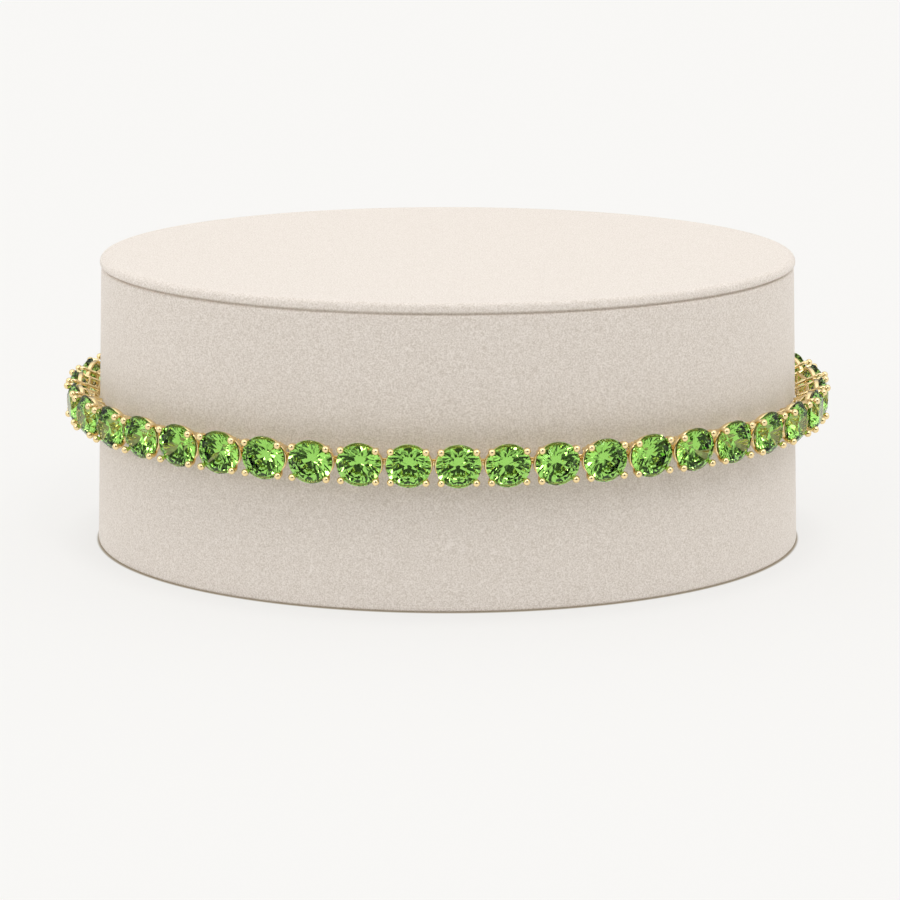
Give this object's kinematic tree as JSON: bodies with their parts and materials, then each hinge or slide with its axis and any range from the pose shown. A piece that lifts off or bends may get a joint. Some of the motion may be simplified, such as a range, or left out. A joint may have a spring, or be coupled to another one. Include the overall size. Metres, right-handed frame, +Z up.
{
  "type": "tennis bracelet on oval display drum",
  "caption": "Tennis bracelet of round green stones in four-prong yellow gold settings, closed round a plain suede-covered oval display drum.",
  "frame": {"origin": "centre of the drum's foot, on the surface that it stands on", "axes": "+Z up, +X along the drum's long way, -Y towards the side with the loose stones (the front)"},
  "size_m": [0.069, 0.0469, 0.0264],
  "materials": {
    "green_stone": "polished, brilliant cut",
    "gold": "high polish",
    "suede": "fine short nap"
  },
  "bodies": {
    "root": {"stone_01": "green_stone", "stone_02": "green_stone", "stone_03": "green_stone", "stone_04": "green_stone", "stone_05": "green_stone", "stone_06": "green_stone", "stone_07": "green_stone", "stone_08": "green_stone", "stone_09": "green_stone", "stone_10": "green_stone", "stone_11": "green_stone", "stone_12": "green_stone", "stone_13": "green_stone", "stone_14": "green_stone", "stone_15": "green_stone", "stone_16": "green_stone", "stone_17": "green_stone", "stone_18": "green_stone", "stone_19": "green_stone", "setting_01": "gold", "setting_02": "gold", "setting_03": "gold", "setting_04": "gold", "setting_05": "gold", "setting_06": "gold", "setting_07": "gold", "setting_08": "gold", "setting_09": "gold", "setting_10": "gold", "setting_11": "gold", "setting_12": "gold", "setting_13": "gold", "setting_14": "gold", "setting_15": "gold", "setting_16": "gold", "setting_17": "gold", "setting_18": "gold", "setting_19": "gold", "hidden_run_left": "gold", "hidden_run_right": "gold", "box_clasp": "gold", "drum_body": "suede", "drum_lid": "suede"}
  },
  "joints": []
}
